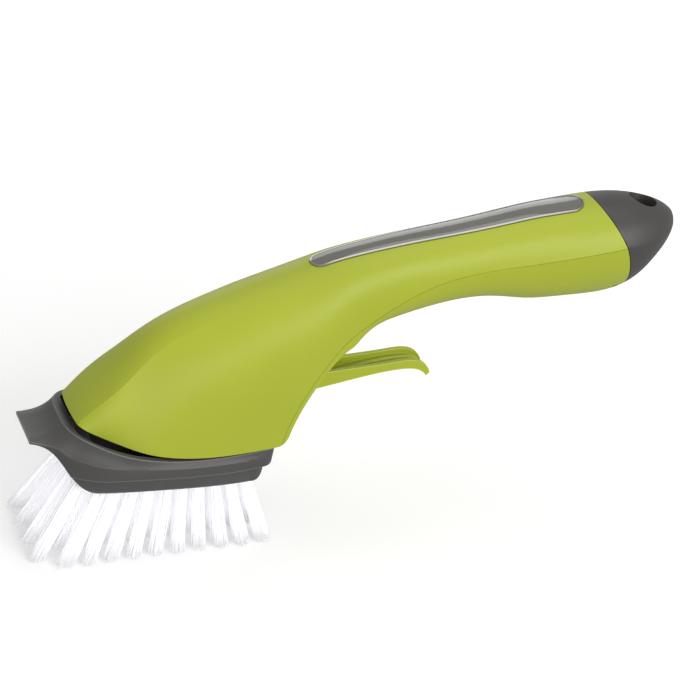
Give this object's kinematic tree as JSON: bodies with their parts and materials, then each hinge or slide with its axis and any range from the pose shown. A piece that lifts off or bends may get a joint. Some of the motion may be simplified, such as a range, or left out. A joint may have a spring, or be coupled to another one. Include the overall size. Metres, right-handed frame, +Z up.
{
  "type": "dish wand",
  "caption": "Soap-dispensing dish wand: hollow green handle with level window, squeeze trigger and pump, grey tail cap with hanging hole, and pull-off brush head with scraper.",
  "frame": {"origin": "Under the middle of the whole wand, at the level of the bristle tips.", "axes": "+X runs from the brush head to the tail cap, +Z is up, and the wand is symmetric about Y = 0."},
  "size_m": [0.257, 0.0494, 0.1285],
  "materials": {
    "lime_plastic": "satin moulded lime green plastic",
    "charcoal_plastic": "satin moulded charcoal plastic",
    "smoked_window": "glossy smoked clear plastic",
    "polished_trim": "thin chrome-plated plastic rim",
    "natural_plastic": "translucent natural plastic",
    "white_plastic": "plain white moulded plastic",
    "clear_tube": "clear soft tubing",
    "seal_rubber": "soft dark silicone",
    "steel": "plain stainless steel",
    "nylon": "white nylon bristle"
  },
  "bodies": {
    "handle": {"upper_shell": "lime_plastic", "lower_shell": "lime_plastic", "window_bezel": "polished_trim", "level_window": "smoked_window", "soap_tank": "natural_plastic", "head_plate": "charcoal_plastic", "plate_screws": "steel", "pump_body": "white_plastic", "pump_cap": "white_plastic", "pump_screws": "steel", "return_spring": "steel", "inlet_valve": "seal_rubber", "outlet_valve": "seal_rubber", "suction_tube": "clear_tube", "outlet_tube": "clear_tube", "soap_nozzle": "white_plastic", "trigger_pin": "steel"},
    "trigger_lever": {"trigger": "lime_plastic"},
    "piston": {"pump_piston": "white_plastic", "piston_seal": "seal_rubber"},
    "brush_head": {"brush_tray": "charcoal_plastic", "tuft_anchors": "steel", "right_tufts": "nylon", "left_tufts": "nylon", "centre_tufts": "nylon", "rear_tufts": "nylon", "front_tufts": "nylon"},
    "end_cap": {"tail_cap": "charcoal_plastic", "cap_seal": "seal_rubber"}
  },
  "joints": [
    {"name": "trigger_squeeze", "type": "hinge", "parent": "handle", "child": "trigger_lever", "pos_m": [-0.03572, 0, 0.05795], "axis": [0, -1, 0], "range_deg": [0, 14], "stiffness_Nm_per_rad": 0.12, "springref_deg": -5.73},
    {"name": "piston_stroke", "type": "slide", "parent": "handle", "child": "piston", "axis": [-1, 0, 0], "range_m": [0, 0.0037], "deforming": ["return_spring"]},
    {"name": "head_pull", "type": "slide", "parent": "handle", "child": "brush_head", "axis": [0, 0, -1], "range_m": [0, 0.03]},
    {"name": "cap_pull", "type": "slide", "parent": "handle", "child": "end_cap", "axis": [1, 0, 0], "range_m": [0, 0.03]}
  ],
  "couplings": [
    {"joint": "piston_stroke", "follows": "trigger_squeeze", "m_per_rad": 0.01485}
  ]
}
